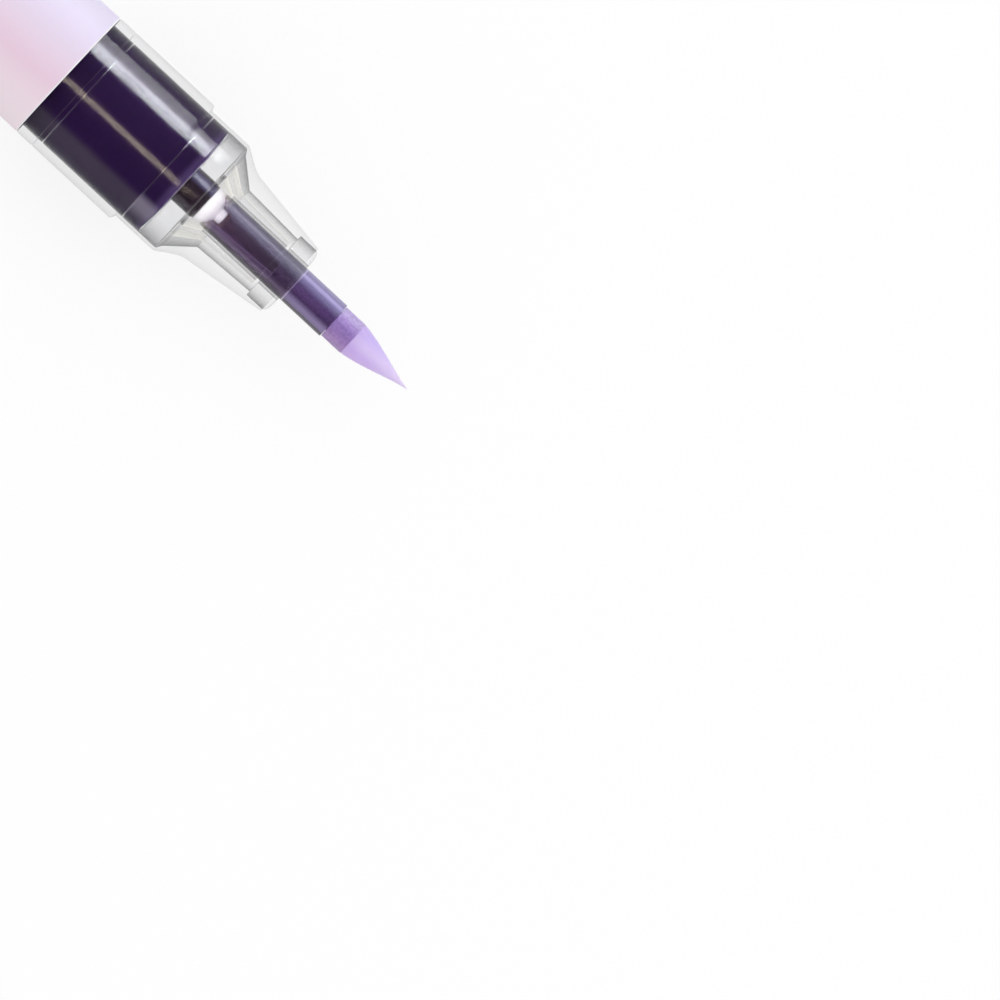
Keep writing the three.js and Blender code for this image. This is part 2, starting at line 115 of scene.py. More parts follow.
class Finish:
    def __init__(self, name, tree=None):
        if tree is None:
            self.material = bpy.data.materials.new(name)
            self.material.use_nodes = True
            tree = self.material.node_tree
        self.tree = tree
        self.tree.nodes.clear()

    def node(self, kind, settings=None, sockets=None, out=0):
        made = self.tree.nodes.new(kind)
        for name, value in (settings or {}).items():
            setattr(made, name, value)
        for name, value in (sockets or {}).items():
            if isinstance(value, Wire):
                self.tree.links.new(value.socket, made.inputs[name])
            else:
                made.inputs[name].default_value = value
        return Wire(self, made.outputs[out]) if made.outputs else made

    def place(self):
        return self.node("ShaderNodeTexCoord", out="Object")

    def axis(self, letter):  # one coordinate, in millimetres from the step along X, or from the axis
        split = self.node("ShaderNodeSeparateXYZ", sockets={0: self.place()}, out=letter)
        return (split - stepX) * (1 / mm) if letter == "X" else split * (1 / mm)

    def noise(self, scale, detail=3.0, stretch=(1, 1, 1)):
        spread = self.node("ShaderNodeMapping", sockets={"Vector": self.place(), "Scale": stretch})
        return self.node("ShaderNodeTexNoise", sockets={"Vector": spread, "Scale": scale, "Detail": detail})

    def span(self, share, low, high):
        return share * (high - low) + low

    def between(self, value, low, high):  # 0 at low, 1 at high, smooth in between
        return self.node("ShaderNodeMapRange", {"interpolation_type": "SMOOTHSTEP"},
                         {"Value": value, "From Min": low, "From Max": high})

    def band(self, value, start, full, fade, end):  # 1 from full to fade, and 0 outside start and end
        return self.between(value, start, full) * self.between(value, end, fade)

    def mixed(self, share, first, second):
        return self.node("ShaderNodeMix", {"data_type": "RGBA"}, {0: share, 6: first, 7: second}, 2)

    def over(self, mask, colour, layer):  # a layer is its share where the mask is 1, and its colour
        return self.mixed(mask * layer[0], colour, layer[1])

    def ramp(self, share, stops):
        made = self.node("ShaderNodeValToRGB", sockets={0: share})
        elements = made.socket.node.color_ramp.elements
        while len(elements) > 1:
            elements.remove(elements[-1])
        for i, (position, colour) in enumerate(stops):
            element = elements[0] if i == 0 else elements.new(position)
            element.position = position
            element.color = colour
        return made

    def bump(self, height, distance):
        return self.node("ShaderNodeBump", sockets={"Height": height, "Distance": distance})

    def facing(self):  # 0 where a face looks at the eye, 1 where it is seen edge on
        return self.node("ShaderNodeLayerWeight", sockets={"Blend": 0.5}, out="Facing")

    def rays(self, *kinds):
        seen = [self.node("ShaderNodeLightPath", out=kind) for kind in kinds]
        total = seen[0]
        for one in seen[1:]:
            total = total.larger(one)
        return total

    def principled(self, sockets):
        return self.node("ShaderNodeBsdfPrincipled", sockets=sockets)

    def mirror(self, colour, roughness, sockets=None):
        return self.principled({"Base Color": colour, "Metallic": 1.0, "Roughness": roughness, **(sockets or {})})

    def sheer(self, colour):
        return self.node("ShaderNodeBsdfTransparent", sockets={"Color": colour})

    def blend(self, share, first, second):
        return self.node("ShaderNodeMixShader", sockets={0: share, 1: first, 2: second})

    def surface(self, shader):
        self.node("ShaderNodeOutputMaterial", sockets={"Surface": shader})
        return self.material


def rgb(red, green, blue):  # a colour as it is picked off a screen, 0 to 255, as the shader wants it
    def light(level):
        share = level / 255
        return share / 12.92 if share <= 0.04045 else ((share + 0.055) / 1.055) ** 2.4
    return (light(red), light(green), light(blue), 1.0)


# Finishes

wall = {"cloud": 240, "cloudHaze": 0.02, "grain": 2600, "drawn": (0.15, 1, 1), "waves": 150, "waveDrawn": (0.5, 1, 1),
        "veilRough": (0.25, 0.4), "veilShine": 0.3, "mirror": (0.95, 0.95, 0.95, 1), "mirrorRough": (0.05, 0.08),
        "glossTurn": 5, "edgeOn": 0.9, "faceOn": 0.04, "slope": (0.1, 0.6, 2.7, 3.2), "upperSide": (0.3, 1.3),
        "glossFade": (-0.2, 0.2)}


# A clear wall that doesn't bend what is behind it. It greys and glosses over as it turns away, as a thin wall does.
# Only its front side mirrors, unless the look says otherwise.
def clearPlastic(name, **changes):
    look = {**clearLook, **changes}
    finish = Finish(name)
    x = finish.axis("X")
    facing = finish.facing()
    back = finish.node("ShaderNodeNewGeometry", out="Backfacing")
    power = look["power"]
    if "slopePower" in look:  # the edge shows wider on the slope behind the nose
        onSlope = finish.band(x, *past(pen["seat"], wall["slope"]))
        power = onSlope * (look["slopePower"] - power) + power
    cloud = finish.noise(wall["cloud"])
    grain = finish.noise(wall["grain"], 3, wall["drawn"])
    clear = finish.blend(facing * look["haze"] + cloud * wall["cloudHaze"],
                         finish.sheer(look["clear"]), finish.sheer(look["smoke"]))
    # Where a look gives lit, the veil glows: painted light, used by the pale guide edges and the mauve spout edges.
    veil = finish.principled({
        "Base Color": finish.mixed(cloud, look["veil"], look["veilShade"]),
        "Roughness": finish.span(grain, *wall["veilRough"]), "Specular IOR Level": wall["veilShine"],
        "Emission Color": look["veil"], "Emission Strength": look["lit"]})
    veiled = finish.blend(facing ** power * look["edge"] + look["frost"], clear, veil)
    waves = finish.bump(finish.noise(wall["waves"], 1, wall["waveDrawn"]), look["ripple"])
    mirror = finish.mirror(wall["mirror"], finish.span(grain, *wall["mirrorRough"]), {"Normal": waves})
    gloss = facing ** wall["glossTurn"] * (wall["edgeOn"] * look["gloss"]) + wall["faceOn"] * look["gloss"]
    gloss = gloss * (1 - back * look["oneSided"])
    if "glossFrom" in look:  # over the paint, only the +Y side has its own reflection
        upper = finish.between(finish.axis("Y"), *wall["upperSide"])
        gloss = gloss * upper.larger(finish.between(x, *past(look["glossFrom"], wall["glossFade"])))
    return finish.surface(finish.blend(gloss, veiled, mirror))


# The cartridge's wall is wet with paint behind it, so it only just bends the light.
def wettedWall(name, look):
    finish = Finish(name)
    grain = finish.noise(wall["grain"], 3, wall["drawn"])
    glass = finish.principled({
        "Base Color": finish.mixed(finish.noise(look["cloud"], 2), look["tint"], look["cloudTint"]),
        "Roughness": finish.span(grain, *look["rough"]), "IOR": look["ior"], "Transmission Weight": 1.0})
    through = finish.rays("Is Shadow Ray", "Is Diffuse Ray")
    return finish.surface(finish.blend(through, glass, finish.sheer(look["shadow"])))


def solidPlastic(name, **changes):
    look = {**plasticLook, **changes}
    finish = Finish(name)
    colour = finish.mixed(finish.noise(look["patch"]), look["colour"], look["shade"])
    if "side" in look:  # a painted bluish sheen along the +Y side, which stands in for the cool light's reflection
        colour = finish.over(finish.band(finish.axis("Y"), *look["sideBand"]), colour, look["side"])
    grain = finish.noise(look["grain"], 4)
    # Where a look gives lit, the plastic glows: painted light, darker towards its silhouettes as painted shade.
    lit = finish.mixed(finish.facing() ** look["glowEdgeTurn"], colour, look["glowEdgeShade"])
    return finish.surface(finish.principled({
        "Base Color": colour, "Roughness": grain * look["spread"] + look["roughness"],
        "Specular IOR Level": look["specular"], "Subsurface Weight": look["glow"],
        "Subsurface Radius": look["glowRadius"], "Subsurface Scale": look["glowScale"],
        "Emission Color": lit, "Emission Strength": look["lit"], "Normal": finish.bump(grain, look["bump"])}))


def metal(name, look):
    finish = Finish(name)
    lines = finish.noise(look["grain"], 4, look["lines"])
    return finish.surface(finish.mirror(
        finish.mixed(lines, look["colour"], look["shade"]), lines * look["spread"] + look["roughness"],
        {"Normal": finish.bump(lines, look["bump"])}))


clearLook = {"clear": (0.992, 0.992, 0.993, 1), "smoke": (0.62, 0.62, 0.625, 1), "veil": rgb(228, 229, 230),
             "veilShade": rgb(216, 218, 219), "haze": 0.22, "power": 6, "edge": 0.3, "gloss": 0.22,
             "ripple": 0.000001, "lit": 0.0, "frost": 0.0, "oneSided": 1.0}
innerLook = {"haze": 0.08, "power": 2.8, "slopePower": 2.5, "edge": 0.82, "gloss": 0.1}
clearFinish = clearPlastic("clear plastic", glossFrom=2.8)
innerFinish = clearPlastic("clear plastic inner wall", **innerLook, veil=rgb(74, 75, 77), veilShade=rgb(64, 66, 68))
# The guide's pale edges also glow (lit): painted light.
paleFinish = clearPlastic("clear plastic with pale edges", veil=rgb(255, 254, 244), veilShade=rgb(248, 248, 240),
                          haze=0.3, power=7.0, slopePower=1.9, edge=1.0, gloss=0.04, lit=0.35)
guideInnerFinish = clearPlastic("guide's inner wall", veil=rgb(136, 136, 132), veilShade=rgb(126, 126, 124),
                                haze=0.1, power=1.9, edge=0.5, gloss=0.1)
bushFinish = clearPlastic("clear bush plastic", haze=0.24, edge=0.24, gloss=0.05)
discFinish = clearPlastic("clear bulkhead plastic", clear=(0.962, 0.966, 0.97, 1), haze=0.26, gloss=0.14)
# The spout's silhouettes show as glowing mauve lines: painted highlights where its edges catch light inside the
# paint.
mauveFinish = clearPlastic("clear plastic with glowing mauve edges", veil=rgb(226, 212, 234), veilShade=rgb(216, 202, 228), haze=0.0,
                           power=3.4, edge=1.0, gloss=0.1, lit=0.45)
# The seam grooves are real. The pale veil and frost on their faces paint a thin light line along each seam, and its
# glints are reflections of the strips.
edgeFinish = clearPlastic("moulded edge of clear plastic with painted light line", veil=rgb(244, 242, 248), veilShade=rgb(230, 228, 236),
                          haze=0.1, power=2, edge=0.06, frost=0.05, gloss=1.5, oneSided=0.0)
shadeFinish = clearPlastic("shaded edge of clear plastic", **innerLook, veil=rgb(96, 96, 98),
                           veilShade=rgb(84, 84, 88), frost=0.08)
capFinish = clearPlastic("clear cap plastic", haze=0.45, edge=0.4, gloss=0.16)
cartridgeFinish = wettedWall("wetted clear wall", {
    "tint": rgb(250, 251, 251), "cloudTint": rgb(246, 248, 248), "cloud": 220, "rough": (0.02, 0.05), "ior": 1.095,
    "shadow": (0.97, 0.97, 0.97, 1)})

plasticLook = {"patch": 260, "grain": 1800, "spread": 0.12, "bump": 0.000005, "specular": 0.5, "glow": 0.0,
               "glowRadius": (1.0, 0.8, 1.0), "glowScale": 0.0008, "lit": 0.0, "glowEdgeTurn": 1.5,
               "glowEdgeShade": rgb(60, 56, 64)}
whiteLook = {"shade": rgb(238, 233, 242), "patch": 300, "roughness": 0.32, "bump": 0.000004, "glow": 0.2,
             "specular": 0.2}
whiteFinish = solidPlastic("white plastic", **whiteLook, colour=rgb(248, 245, 250))
# The plunger glows (lit): painted light that makes up for the light that the clear walls around it hold back.
plungerFinish = solidPlastic("white valve plastic", **whiteLook, colour=rgb(253, 251, 252), lit=0.58)
# The seal's bluish band along +Y (side) is a painted sheen.
rubberFinish = solidPlastic("wet dark rubber", colour=rgb(66, 46, 62), shade=rgb(54, 38, 58), patch=700,
                            roughness=0.2, bump=0.000006, side=(0.8, rgb(100, 94, 140)),
                            sideBand=(0.5, 1.1, 1.6, 2.0))
lilacFinish = solidPlastic("lilac plastic", colour=rgb(196, 178, 226), shade=rgb(184, 166, 218), roughness=0.36,
                           specular=0.14)
linerFinish = solidPlastic("milky plastic", colour=rgb(242, 240, 246), shade=rgb(230, 228, 238), roughness=0.4,
                           glow=0.3, specular=0.1)

metalLook = {"grain": 900, "spread": 0.2, "bump": 0.00001}
steelFinish = metal("drawn steel", {**metalLook, "colour": rgb(205, 206, 210), "shade": rgb(176, 178, 184),
                                    "roughness": 0.18, "lines": (0.2, 1, 1)})
ballFinish = metal("polished ball", {**metalLook, "colour": rgb(214, 214, 218), "shade": rgb(196, 197, 202),
                                     "roughness": 0.08, "lines": (1, 1, 1)})
print("finishes made")


# Turned pieces

# How far edges are rounded off, in millimetres
hairline, crisp, sharp, slight, eased, soft, rounded, broad, full, fillet = (
    0.02, 0.04, 0.05, 0.06, 0.08, 0.1, 0.15, 0.2, 0.3, 0.5)
turning = {"steps": 144, "segments": 4, "profile": 0.5, "merge": 0.0002, "crease": 30, "inward": -0.3, "weight": 100}


# The handles are shares of the curve's length and radius, or short steps from its ends.
def curve(start, handleA, handleB, end, count):
    points = interpolate_bezier(*[Vector((*p, 0)) for p in (start, handleA, handleB, end)], count)
    return [(p.x, p.y) for p in points]


# An outline's points are x and radius, and a rounding where the edge has one. An open outline ends on the axis.
def spun(outline, closed, steps):
    shape = bmesh.new()
    corners = [shape.verts.new((p[0], 0, p[1])) for p in outline]
    following = corners[1:] + corners[:1] if closed else corners[1:]
    for first, second in zip(corners, following):
        shape.edges.new((first, second))
    for rounding in sorted({p[2] for p in outline if len(p) > 2}):
        picked = [v for v, p in zip(corners, outline) if len(p) > 2 and p[2] == rounding]
        bmesh.ops.bevel(shape, geom=picked, affect="VERTICES", offset=rounding, offset_type="OFFSET",
                        segments=turning["segments"], profile=turning["profile"], material=-1)
    bmesh.ops.spin(shape, geom=shape.verts[:] + shape.edges[:], cent=(0, 0, 0), axis=(1, 0, 0),
                   angle=2 * math.pi, steps=steps, use_merge=True)
    bmesh.ops.remove_doubles(shape, verts=shape.verts, dist=turning["merge"])
    return shape


def turned(name, rider, outline, finish, stands, closed=True, steps=turning["steps"], slot=None, **dress):
    finished(name, rider, spun(outline, closed, steps), finish, stands, slot, **dress)


# A spin leaves its parts in another order on each run, so they are put in the order of their places.
def putInOrder(parts, place):
    ranked = sorted(parts, key=lambda part: [round(c, 7) for c in place(part)])
    rank = {part: i for i, part in enumerate(ranked)}
    parts.sort(key=rank.get)


# Faces that look towards the axis take the inner finish. Faces at a seam, given by its x and half its width, take the
# seam's finish.
def finished(name, rider, shape, finish, stands=(), slot=None, inner=None, seams=(), seamFinish=edgeFinish):
    bmesh.ops.scale(shape, vec=(mm, mm, mm), verts=shape.verts)
    bmesh.ops.translate(shape, vec=(stepX, 0, 0), verts=shape.verts)
    putInOrder(shape.verts, lambda v: v.co)
    putInOrder(shape.edges, lambda e: (e.verts[0].co + e.verts[1].co) / 2)
    putInOrder(shape.faces, lambda f: f.calc_center_median())
    bmesh.ops.recalc_face_normals(shape, faces=shape.faces)
    for face in shape.faces if inner else ():
        middle = face.calc_center_median()
        if any(abs((middle.x - stepX) / mm - seam) < half for seam, half in seams):
            face.material_index = 2
        elif face.normal.dot(Vector((0, middle.y, middle.z)).normalized()) < turning["inward"]:
            face.material_index = 1
    mesh = bpy.data.meshes.new(name)
    shape.to_mesh(mesh)
    shape.free()
    mesh.polygons.foreach_set("use_smooth", [True] * len(mesh.polygons))
    mesh.set_sharp_from_angle(angle=math.radians(turning["crease"]))
    mesh.materials.append(finish)
    if inner:
        mesh.materials.append(inner)
    if seams:
        mesh.materials.append(seamFinish)
    piece = bpy.data.objects.new(name, mesh)
    bpy.context.scene.collection.objects.link(piece)
    weighted = piece.modifiers.new("weighted normals", "WEIGHTED_NORMAL")  # keeps long walls straight in reflections
    weighted.mode, weighted.weight, weighted.keep_sharp = "FACE_AREA", turning["weight"], True
    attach(piece, rider)
    if stands:
        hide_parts(*stands)
    return piece


# Brush nib: a lilac body that turns clearer over the wick. Its finish is given across the nib, in y, and along it,
# back from the tip or ahead of the tube's end.

nib = {"radius": 1.85, "tip": 0.05, "cone": 7.4, "spigot": 1.65, "spigotLength": 1.6, "bore": 1.2, "boreDepth": 2.55,
       "pink": rgb(214, 176, 248), "blue": rgb(196, 180, 250), "sides": (-1.9, 1.5),
       "tipFade": (-6, -0.5), "tipLayer": (0.7, rgb(238, 228, 252)),
       "middle": (-0.9, 0.1, 0.2, 1.1), "highlightLayer": (0.6, rgb(238, 224, 255)),
       "cloud": 2600, "cloudDrawn": (0.3, 1, 1), "pale": rgb(220, 200, 250),
       "stainFade": (4.6, 1.2), "stainLayer": (0.5, rgb(190, 160, 224)),
       "speckle": 3400, "speck": (0.38, 0.62), "speckLayer": (0.28, rgb(98, 62, 140)), "coreWidth": 3.8,
       "coreFade": (0.1, -0.1), "coreShare": 0.9, "coreClear": 0.22, "spigotFade": (0.02, -0.02), "spigotClear": 0.78,
       "fibres": 3200, "fibreDrawn": (0.08, 1, 1), "fibreDepth": 0.000012, "rough": (0.32, 0.52), "ior": 1.45,
       "glow": 0.35, "glowRadius": (1.0, 0.7, 1.0), "glowScale": 0.001, "clear": (0.97, 0.94, 0.99, 1)}
# The core across y, from −Y to +Y. Its lower margin is darker than its upper one: painted shade.
nibCore = [(0.0, rgb(180, 146, 204)), (0.22, rgb(188, 150, 214)), (0.4, rgb(168, 134, 206)),
           (0.54, rgb(168, 136, 212)), (0.7, rgb(198, 168, 240)), (0.86, rgb(214, 194, 254))]


def nibFinish(look):
    finish = Finish("soft lilac nib")
    x = finish.axis("X")
    y = finish.axis("Y")
    rear = reach("brush_nib")[0] + look["spigotLength"]
    coreEnd = rear + look["boreDepth"]
    tip = coreEnd + look["cone"]
    # The colour is pinker on −Y and bluer on +Y, a painted reflection tint, and a lighter band along the middle is a
    # painted highlight.
    colour = finish.mixed(finish.between(y, *look["sides"]), look["pink"], look["blue"])
    colour = finish.over(finish.between(x, *past(tip, look["tipFade"])), colour, look["tipLayer"])
    colour = finish.over(finish.band(y, *look["middle"]), colour, look["highlightLayer"])
    colour = finish.mixed(finish.noise(look["cloud"], 5, look["cloudDrawn"]), colour, look["pale"])
    colour = finish.over(finish.between(x, *past(rear, look["stainFade"])), colour, look["stainLayer"])
    core = finish.ramp(y * (1 / look["coreWidth"]) + 0.5, nibCore)
    core = finish.over(finish.between(finish.noise(look["speckle"], 4), *look["speck"]), core, look["speckLayer"])
    overWick = finish.between(x, *past(coreEnd, look["coreFade"]))
    fibre = finish.noise(look["fibres"], 5, look["fibreDrawn"])
    body = finish.principled({
        "Base Color": finish.mixed(overWick * look["coreShare"], colour, core),
        "Roughness": finish.span(fibre, *look["rough"]), "IOR": look["ior"], "Subsurface Weight": look["glow"],
        "Subsurface Radius": look["glowRadius"], "Subsurface Scale": look["glowScale"],
        "Normal": finish.bump(fibre, look["fibreDepth"])})
    onSpigot = finish.between(x, *past(rear, look["spigotFade"]))
    clearer = overWick * look["coreClear"] + onSpigot * look["spigotClear"]
    return finish.surface(finish.blend(clearer, body, finish.sheer(look["clear"])))


def makeNib(look):
    rear, tip = reach("brush_nib")
    shoulder = rear + look["spigotLength"]
    boreEnd = shoulder + look["boreDepth"]
    start = tip - look["tip"] * 0.6
    cone = curve((start, look["tip"]), (tip - look["cone"] * 0.27, look["radius"] * 0.19),
                 (tip - look["cone"] * 0.66, look["radius"] * 0.875), (tip - look["cone"], look["radius"]), 40)
    outline = [(tip, 0), (start + look["tip"] * 0.4, look["tip"] * 0.7), *cone, (shoulder, look["radius"], eased),
               (shoulder, look["spigot"]), (rear, look["spigot"]), (rear, look["bore"]), (boreEnd, look["bore"]),
               (boreEnd, 0)]
    turned("brush_nib_soft", "nib", outline, nibFinish(look), ["brush_nib"], False, 96, "soft_nib")


makeNib(nib)


# Nib tube, wick and spout. The tube is clean up to a place behind the bush, stained in front of it, and wet behind
# the bush's front.
# Over the stain, a cool sheen, a light line and darker edges are painted light and shade.
# Fades along the tube are steps from those places, and the others are in y or z.

tube = {"radius": 2.0, "bore": 1.7, "lip": 0.08, "streaks": 700, "drawn": (0.1, 1, 1),
        "clean": 8.15, "cleanFade": (-0.2, 0.5), "sidesFade": (-1.5, -0.3), "upperSide": (0.5, 1.0),
        "lowerSide": (-0.7, -1.2), "settledFade": (0.7, 0.5), "settledLayer": (0.85, rgb(150, 147, 168)),
        "ring": (0.58, 0.66, 0.74, 0.82), "ringLayer": (0.6, rgb(226, 214, 240)),
        # Painted light on the stain: a cool sheen with a lighter line on +Y, a darker top edge, warm mauve on −Y and
        # a shade on the lower edge.
        "line": (1.0, 1.25, 1.4, 1.6), "coolSheen": rgb(176, 166, 218), "highlightColour": rgb(208, 197, 250),
        "rim": (1.5, 1.8), "topEdgeShade": (0.4, rgb(104, 96, 140)), "warmFore": rgb(166, 148, 198),
        "warm": rgb(140, 116, 156), "warmToCool": (-1.0, 1.1), "side": (-1.55, -1.75), "shade": rgb(52, 40, 60),
        "stainRough": (0.25, 0.35), "stainShine": 0.3,
        "clear": (0.98, 0.975, 0.98, 1), "coolTint": (0.78, 0.75, 0.87, 1), "warmTint": (0.72, 0.635, 0.79, 1),
        "tintBlend": (-1.0, 1.0), "mirror": (0.9, 0.9, 0.95, 1), "mirrorRough": (0.1, 0.15),
        "gloss": (0.035, 0.235), "glossTurn": 5}
tubeCover = {"least": 0.04, "streaks": 0.06, "edge": 0.4, "edgeTurn": 3, "upper": 0.42, "upperFade": (0.2, 1.15),
             "lower": 0.44, "lowerWet": 0.28, "lowerFade": (-0.6, -1.2), "side": 0.6, "ring": 0.14}
tubeFilm = {"rear": (6.3, 6.8), "front": (0.3, 0.6), "low": (0.25, -0.25), "cover": 0.97, "cloud": 900,
            "colours": (rgb(150, 128, 132), rgb(164, 144, 146)), "rough": 0.5, "shine": 0.2}
wick = {"radius": 1.15, "grain": 3600, "grains": (0.34, 0.66), "inTube": (rgb(146, 104, 154), rgb(164, 122, 170)),
        "bushFade": (0.75, 0.3), "bushLayer": (0.8, rgb(136, 122, 130)), "nibFade": (-0.03, 0.05),
        "inNib": (rgb(70, 20, 110), rgb(190, 140, 204)), "rough": 0.75, "shine": 0.2, "depth": 0.00004}
spout = {"rear": 1.65, "mouth": 1.31, "rearWall": 0.5, "mouthWall": 0.56, "collar": 1.0, "step": 0.04}


def tubeFinish(look, cover, film):
    finish = Finish("violet stained tube with painted sheen and shade")
    x = finish.axis("X")
    y = finish.axis("Y")
    z = finish.axis("Z")
    facing = finish.facing()
    streaks = finish.noise(look["streaks"], 3, look["drawn"])
    sides = finish.between(y, *look["upperSide"]) + finish.between(y, *look["lowerSide"])
    fore = finish.between(x, *past(look["clean"], look["cleanFade"]))
    fore = fore.larger(finish.between(x, *past(look["clean"], look["sidesFade"])) * sides)
    settled = finish.between(x, *past(rimX, look["settledFade"]))
    # A light line is painted across the tube where the bush's front edge shows through it: a painted highlight.
    ring = finish.band(x, *past(rimX, look["ring"]))
    side = finish.between(y, *look["side"])
    # Painted reflection and shade: cool with a light line and a darker top edge on +Y, warm on −Y, and darker at the
    # lower edge (side, shade).
    coolSheen = finish.mixed(finish.band(y, *look["line"]), look["coolSheen"], look["highlightColour"])
    coolSheen = finish.over(finish.between(y, *look["rim"]), coolSheen, look["topEdgeShade"])
    coolSheen = finish.over(settled, coolSheen, look["settledLayer"])
    warm = finish.mixed(settled, look["warmFore"], look["warm"])
    colour = finish.mixed(finish.between(y, *look["warmToCool"]), warm, coolSheen)
    colour = finish.over(ring, finish.mixed(side, colour, look["shade"]), look["ringLayer"])
    stainAndSheen = finish.principled({"Base Color": colour, "Roughness": finish.span(streaks, *look["stainRough"]),
                               "Specular IOR Level": look["stainShine"]})
    # The clear wall's tint is cooler on +Y and warmer on −Y: a painted reflection tint.
    tinted = finish.blend(finish.between(y, *look["tintBlend"]), finish.sheer(look["warmTint"]),
                          finish.sheer(look["coolTint"]))
    tinted = finish.blend(fore, finish.sheer(look["clear"]), tinted)
    # The stain covers more on the +Y and −Y bands, at the edges and on the lower side, where it carries the painted
    # sheen and shade.
    halves = (finish.between(y, *cover["upperFade"]) * cover["upper"]
              + finish.between(y, *cover["lowerFade"]) * finish.span(settled, cover["lower"], cover["lowerWet"]))
    share = fore * (streaks * cover["streaks"] + facing ** cover["edgeTurn"] * cover["edge"] + halves
                    + side * cover["side"] + ring * cover["ring"] + cover["least"])
    # stained carries the real stain together with its painted sheen and shade.
    stained = finish.blend(share, tinted, stainAndSheen)
    dried = finish.principled({"Base Color": finish.mixed(finish.noise(film["cloud"], 4), *film["colours"]),
                               "Roughness": film["rough"], "Specular IOR Level": film["shine"]})
    behind = finish.band(x, *film["rear"], *past(rimX, film["front"]))
    filmed = finish.blend(behind * finish.between(z, *film["low"]) * film["cover"], stained, dried)
    mirror = finish.mirror(look["mirror"], finish.span(streaks, *look["mirrorRough"]))
    return finish.surface(finish.blend(finish.span(facing ** look["glossTurn"], *look["gloss"]), filmed, mirror))


def wickFinish(look):
    finish = Finish("wet wick")
    x = finish.axis("X")
    grains = finish.between(finish.noise(look["grain"], 4), *look["grains"])
    inTube = finish.over(finish.between(x, *past(rimX, look["bushFade"])), finish.mixed(grains, *look["inTube"]),
                         look["bushLayer"])
    inNib = finish.mixed(grains, *look["inNib"])
    atNib = finish.between(x, *past(reach("nib_tube")[1], look["nibFade"]))
    return finish.surface(finish.principled({
        "Base Color": finish.mixed(atNib, inTube, inNib), "Roughness": look["rough"],
        "Specular IOR Level": look["shine"], "Normal": finish.bump(grains, look["depth"])}))


def makeFeed():
    rear, front = reach("nib_tube")
    turned("nib_tube_clear", "nib", [(front, tube["bore"], sharp), (front, tube["radius"], tube["lip"]),
                                     (rear, tube["radius"], sharp), (rear, tube["bore"], sharp)],
           tubeFinish(tube, tubeCover, tubeFilm), ["nib_tube"], slot="nib_tube")
    rear, front = reach("nib_wick")
    turned("nib_wick_core", "nib", [(front, 0), (front, wick["radius"], sharp), (rear, wick["radius"], sharp),
                                    (rear, 0)], wickFinish(wick), ["nib_wick"], False, 64, "wick")
    rear, front = reach("feed_spout")
    collar = rear + spout["collar"]
    turned("feed_spout_clear", "nib",
           [(front, spout["mouth"] - spout["mouthWall"], sharp), (front, spout["mouth"], soft),
            (collar, spout["rear"] - spout["step"]), (collar, spout["rear"], hairline), (rear, spout["rear"], sharp),
            (rear, spout["rear"] - spout["rearWall"], sharp)],
           mauveFinish, ["feed_spout"], True, 96, "spout")


makeFeed()
print("nib, tube, wick and spout made")


# Valve: plunger, seal and bulkhead

valve = {"pin": 0.76, "shaft": 0.8, "flange": 2.03, "cone": 1.95, "flangeThickness": 0.3, "pinLength": 0.75,
         "coneLength": 1.25, "sealHead": 2.65, "sealHeadThickness": 1.4, "sealGap": 0.05}
bulkhead = {"bore": 2.1, "boss": 3.05, "bossLength": 0.4, "disc": 6.48, "thickness": 2.05, "neck": 3.0,
            "shade": (-0.2, 0.22)}


def makeValve(size, disc):
    rear, tip = reach("plunger")
    flange = tip - size["pinLength"] - size["coneLength"]
    shoulder = flange - size["flangeThickness"]
    point = curve((tip, 0), (tip, size["pin"] * 0.9), (tip - 0.02, size["pin"]), (tip - 0.5, size["pin"]), 12)
    cone = curve((flange + size["coneLength"], size["pin"]), (flange + size["coneLength"] * 0.84, size["pin"] + 0.3),
                 (flange + size["coneLength"] * 0.6, size["cone"] * 0.95), (flange, size["cone"]), 16)
    turned("plunger_white", "valve_plunger",
           [*point, *cone, (flange, size["flange"], eased), (shoulder, size["flange"], sharp),
            (shoulder, size["shaft"]), (rear, size["shaft"], soft), (rear, 0)],
           plungerFinish, ["plunger"], False, 96, "white_plastic")
    rear, front = reach("piston_seal")
    head = rear + size["sealHeadThickness"]
    bore = size["shaft"] + size["sealGap"]
    turned("piston_seal_rubber", "valve_plunger",
           [(front, bore), (front, size["flange"], soft), (head, size["flange"]), (head, size["sealHead"], soft),
            (rear, size["sealHead"], soft), (rear, bore)],
           rubberFinish, ["piston_seal"], True, 96, "seal")
    rear, front = reach("valve_body")
    face = front - disc["bossLength"]
    back = face - disc["thickness"]
    turned("bulkhead_clear", "barrel",
           [(front, disc["bore"], sharp), (front, disc["boss"], soft), (face, disc["boss"]),
            (face, disc["disc"], rounded), (back, disc["disc"], sharp), (back, disc["neck"]),
            (rear, disc["neck"], soft), (rear, disc["bore"])],
           discFinish, ["valve_body"], slot="clear_plastic", inner=innerFinish,
           seams=[(front + disc["shade"][0], disc["shade"][1])], seamFinish=shadeFinish)


makeValve(valve, bulkhead)


# Clear nose with its guide and bush

